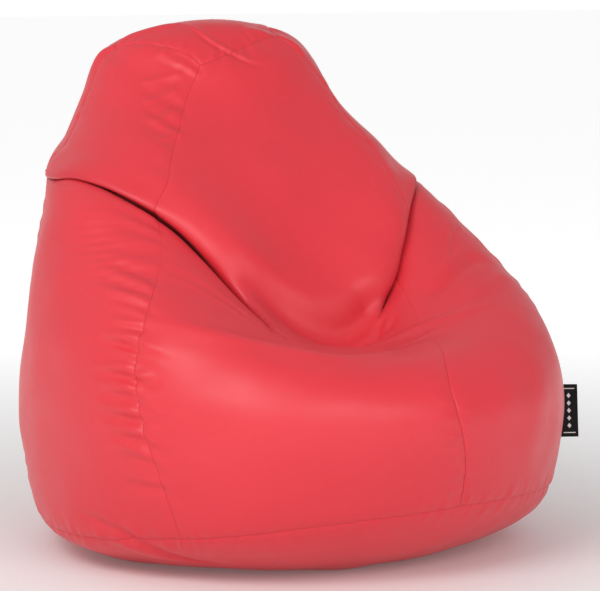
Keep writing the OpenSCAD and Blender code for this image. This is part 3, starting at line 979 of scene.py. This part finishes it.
panels = [build_panel(k) for k in range(6)]
ALL_ROUND = np.arange(ACROSS + 1) % ACROSS
base = polar_piece("base_panel_cover", cover[LOW::-1], False)
dress(base, LEATHER, "bag", "cover", "base_panel")
declare_cloth(smooth[:LOW + 1, ALL_ROUND], round_cut=True)
top = polar_piece("top_panel_cover", cover[HIGH:], True)
dress(top, LEATHER, "bag", "cover", "top_panel")
declare_cloth(smooth[HIGH:, ALL_ROUND], round_cut=True)

# ---------------------------------------------------------------- filling and liner

LINER_DEPTH, FILL_DEPTH = 9 * MM, 11.5 * MM
MOUTH = 13.2


def shell(depth, low, high, step=3):
    """A closed or open inner layer that follows the folds of the cover."""
    normal = frames(smooth)[2]
    rings = smooth + (inner - depth)[..., None] * normal
    rings[..., 2] = np.maximum(rings[..., 2], depth)
    rings[0], rings[-1] = rings[1].mean(axis=0), rings[-2].mean(axis=0)
    return rings[low:high:step, ::step]


liner_rows = int(np.argmin(np.abs(level[:, 0] - MOUTH)))
liner_rings = shell(LINER_DEPTH, 0, liner_rows)
liner = polar_piece("liner_bag", liner_rings[::-1], False)
dress(liner, LINER, "bag", "liner", "inner_liner")
declare_cloth(smooth[:liner_rows, ALL_ROUND], layers=2)
closure_rings = shell(LINER_DEPTH - MM, liner_rows - 4, len(level))
closure = polar_piece("liner_top_closure", closure_rings, True)
dress(closure, LINER, "bag", "liner", "liner_closure")
declare_cloth(smooth[liner_rows - 4:, ALL_ROUND], round_cut=True)
fill_rings = shell(FILL_DEPTH, 0, len(level))
fill = polar_piece("bead_filling", fill_rings, True)
dress(fill, BEADS, "bag", "beads", "bead_fill")


# ---------------------------------------------------------------- threads

THREAD = plain_cloth("sewing_thread", (0.50, 0.02, 0.035), (0.66, 0.035, 0.05), 1500)


def tube(path, radii, closed, sides=6):
    """A round cord along a path, with its own radius at every point."""
    ahead = np.roll(path, -1, axis=0) - np.roll(path, 1, axis=0)
    if not closed:
        ahead[0], ahead[-1] = path[1] - path[0], path[-1] - path[-2]
    ahead = unit(ahead)
    side = unit(np.cross(ahead, [0.31, 0.22, 0.93]))
    up = np.cross(side, ahead)
    t = np.arange(sides) * 2 * np.pi / sides
    ring = np.cos(t)[None, :, None] * side[:, None] + np.sin(t)[None, :, None] * up[:, None]
    points = path[:, None] + ring * radii[:, None, None]
    if closed:
        points = np.concatenate([points, points[:1]])
    return points, grid_faces(len(points), sides, True)


def resample(path, step):
    s = np.concatenate([[0], np.cumsum(np.linalg.norm(np.diff(path, axis=0), axis=-1))])
    t = np.linspace(0, s[-1], int(s[-1] / step) + 1)
    return np.stack([np.interp(t, s, path[:, c]) for c in range(3)], axis=-1), t


def thread_piece(name, paths, *nodes, pitch=5 * MM, thick=0.6 * MM):
    """Lines of sewing thread, pinched where each stitch goes down."""
    points, faces, count = [], [], 0
    for path, closed in paths:
        line, t = resample(path, 1.1 * MM)
        radii = thick * (0.55 + 0.45 * np.abs(np.sin(np.pi * t / pitch)))
        p, f = tube(line, radii, closed)
        points.append(p.reshape(-1, 3))
        faces.append(f + count)
        count += p.shape[0] * p.shape[1]
    piece = new_mesh(name, np.vstack(points), np.vstack(faces))
    dress(piece, THREAD, "bag", "thread", *nodes)


def seam_path(k):
    column, rows = k * COLS, slice(LOW + 2, HIGH - 1)
    sunk = (0.3 + 1.2 * flatness(k, level[rows, column])) * MM
    return cover[rows, column] - sunk[..., None] * out[rows, column]


def zip_split(k):
    """The seam line, broken where the zip lies."""
    path = seam_path(k)
    if k != ZIP_SEAM:
        return [(path, False)]
    below, above = path[:, 2] < ZIP_LOW - 0.004, path[:, 2] > ZIP_HIGH + 0.004
    return [(path[below], False), (path[above], False)]


thread_piece("panel_seam_thread", sum((zip_split(k) for k in range(6)), []), "panel_seams")
thread_piece("base_seam_thread", [(cover[LOW] - 0.2 * MM * out[LOW], True)], "base_seam")
thread_piece("top_seam_thread", [(cover[HIGH] - 0.2 * MM * out[HIGH], True)], "top_seam")


def zip_stitching():
    """A line of stitches round the zip, and a close bar of stitches across each end."""
    trees = [BVHTree.FromObject(panels[k], bpy.context.evaluated_depsgraph_get())
             for k in (ZIP_SEAM - 1, ZIP_SEAM)]

    def on_back(x, z):
        hits = [tree.ray_cast(Vector((x, 1, z)), Vector((0, -1, 0)))[0] for tree in trees]
        y = max(hit.y for hit in hits if hit)
        return (x, y + 0.2 * MM, z)

    half = ZIP_ROOM + 4 * MM
    low, high = ZIP_LOW - 14 * MM, ZIP_HIGH + 14 * MM
    up = np.arange(low, high, 3 * MM)
    over = np.arange(-half, half, 1.5 * MM)
    loop = [on_back(ZIP_X - half, z) for z in up] + [on_back(ZIP_X + x, high) for x in over]
    loop += [on_back(ZIP_X + half, z) for z in up[::-1]] + [on_back(ZIP_X - x, low) for x in over]
    bars = []
    for z in (low + 4 * MM, high - 4 * MM):
        zigzag = [on_back(ZIP_X + x, z + (i % 2 - 0.5) * 2.2 * MM)
                  for i, x in enumerate(np.arange(-half + 3 * MM, half - 2 * MM, 0.7 * MM))]
        bars.append((np.array(zigzag), False))
    thread_piece("zip_topstitching", [(np.array(loop), True)], pitch=3.5 * MM, thick=0.45 * MM)
    thread_piece("zip_end_bars", bars, pitch=2.5 * MM, thick=0.4 * MM)


zip_stitching()

# ---------------------------------------------------------------- zip

ZIP_CLOTH = plain_cloth("zip_tape_cloth", (0.34, 0.015, 0.025), (0.50, 0.025, 0.04), 700)


def zip_plastic():
    n = Nodes("zip_nylon")
    tone = n.colours(n.noise(300, 4.0), (0.3, (0.40, 0.018, 0.03)), (0.7, (0.48, 0.025, 0.04)))
    return n.finish(tone, n.ramp(n.noise(200, 3.0), 0.28, 0.42), n.bump(n.noise(900, 2.0), 0.1, 0.0003))


def zip_metal():
    n = Nodes("zip_brushed_metal")
    stretch = n.add("ShaderNodeMapping")
    stretch.inputs["Scale"].default_value = (2600, 2600, 60)
    n.join(n.place, stretch.inputs["Vector"])
    lines = n.noise(1.0, 4.0, 0.6, stretch.outputs["Vector"])
    tone = n.colours(lines, (0.3, (0.50, 0.50, 0.51)), (0.7, (0.64, 0.64, 0.65)))
    n.set(Metallic=1.0)
    return n.finish(tone, n.ramp(lines, 0.24, 0.40), n.bump(lines, 0.15, 0.0002))


NYLON, METAL = zip_plastic(), zip_metal()
for names, material in ((("zip_tape_left", "zip_tape_right"), ZIP_CLOTH),
                        (("zip_teeth_left", "zip_teeth_right"), NYLON),
                        (("zip_top_stop", "zip_bottom_stop", "zip_slider", "zip_pull"), METAL)):
    for name in names:
        node = frame["nodes"][name]
        node.data.materials.clear()
        node.data.materials.append(material)
        if material != ZIP_CLOTH:
            rounding = node.modifiers.new("rounding", "BEVEL")
            rounding.width = 0.25 * MM
            rounding.segments = 2
            rounding.limit_method = "ANGLE"


# ---------------------------------------------------------------- label

LABEL_LOW, LABEL_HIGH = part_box("side_label")
LABEL_JOINT = next(j for j in frame["joints"] if j["name"] == "label_fold")
PIN = np.array(LABEL_JOINT["pos_m"])
LABEL_TURN = math.atan2(LABEL_LOW.y - PIN[1], LABEL_HIGH.x - PIN[0])
LABEL_LONG = math.hypot(LABEL_HIGH.x - PIN[0], LABEL_LOW.y - PIN[1])
LABEL_TALL = LABEL_HIGH.z - LABEL_LOW.z
LABEL_TILT = math.radians(2.5)
# Half the label's thickness where it folds back, and the length of each flat face.
LABEL_BEND = 0.55 * MM
LABEL_FLAT = LABEL_LONG - 1.2 * MM
LABEL_RUN = 2 * LABEL_FLAT + math.pi * LABEL_BEND


def label_point(run, rise, lift=0.0):
    """A point of the folded label: run goes out along one face, round the fold and back."""
    half = LABEL_BEND + lift
    turn = (run - LABEL_FLAT) / LABEL_BEND
    if turn < 0:
        x, y = run, -half
    elif turn < math.pi:
        x, y = LABEL_FLAT + half * math.sin(turn), -half * math.cos(turn)
    else:
        x, y = LABEL_RUN - run, half
    y += 0.9 * MM * math.sin(rise / LABEL_TALL * 4.5 + 0.6) * (x / LABEL_LONG) ** 2
    z = rise - LABEL_TALL / 2
    x, z = x - z * math.tan(LABEL_TILT), z
    c, s = math.cos(LABEL_TURN), math.sin(LABEL_TURN)
    return PIN + np.array([x * c - y * s, x * s + y * c, z])


def woven_label():
    n = Nodes("woven_label_black")
    tilted = n.add("ShaderNodeMapping")
    tilted.inputs["Rotation"].default_value = (0, 0, -LABEL_TURN)
    n.join(n.place, tilted.inputs["Vector"])
    threads = []
    for direction in ("Z", "X"):
        wave = n.add("ShaderNodeTexWave", wave_type="BANDS", bands_direction=direction)
        wave.inputs["Scale"].default_value = 420
        n.join(tilted.outputs["Vector"], wave.inputs["Vector"])
        threads.append(wave.outputs["Fac"])
    weave = n.times(*threads)
    tone = n.colours(weave, (0.1, (0.003, 0.003, 0.0035)), (0.9, (0.010, 0.010, 0.011)))
    n.set(Specular_IOR_Level=0.15)
    return n.finish(tone, n.ramp(n.noise(300, 3.0), 0.45, 0.6), n.bump(weave, 0.3, 0.0002))


def build_label():
    runs = np.linspace(0, LABEL_RUN, 90)
    rises = np.linspace(0, LABEL_TALL, 60)
    points = np.array([[label_point(r, h) for r in runs] for h in rises])
    piece = new_mesh("folded_side_label", points, grid_faces(len(rises), len(runs)))
    solid = piece.modifiers.new("thickness", "SOLIDIFY")
    solid.thickness = 0.35 * MM
    solid.offset = -1
    dress(piece, woven_label(), "label", "label", "side_label")
    return piece


def patch(outline, face, lift=0.12 * MM, steps=4):
    """A woven shape on the label, given by its corners as (across, up) in millimetres."""
    a, b, c, d = [np.array(p, float) * MM for p in outline]
    points = []
    for i in range(steps + 1):
        for j in range(steps + 1):
            s, t = i / steps, j / steps
            x, z = (a * (1 - s) + b * s) * (1 - t) + (d * (1 - s) + c * s) * t
            run = x if face == 0 else LABEL_RUN - x
            points.append(label_point(run, LABEL_TALL / 2 + z, lift))
    faces = grid_faces(steps + 1, steps + 1)
    return np.array(points), faces if face == 0 else faces[:, ::-1]


def build_motif():
    """A plain woven pattern: a column of diamonds between two bars, on both faces."""
    middle, half = 17.5, 3.2
    shapes = [[(middle - half, z), (middle, z - 4.2), (middle + half, z), (middle, z + 4.2)]
              for z in (-24, -12, 0, 12, 24)]
    for z in (-36, 34.6):
        shapes.append([(8, z), (27, z), (27, z + 1.4), (8, z + 1.4)])
    points, faces, count = [], [], 0
    for face in (0, 1):
        for shape in shapes:
            p, f = patch(shape, face)
            points.append(p)
            faces.append(f + count)
            count += len(p)
    piece = new_mesh("label_woven_motif", np.vstack(points), np.vstack(faces))
    white = plain_cloth("label_white_thread", (0.62, 0.62, 0.60), (0.80, 0.80, 0.78), 1400)
    dress(piece, white, "label", "label")
    return piece


label = build_label()
motif = build_motif()
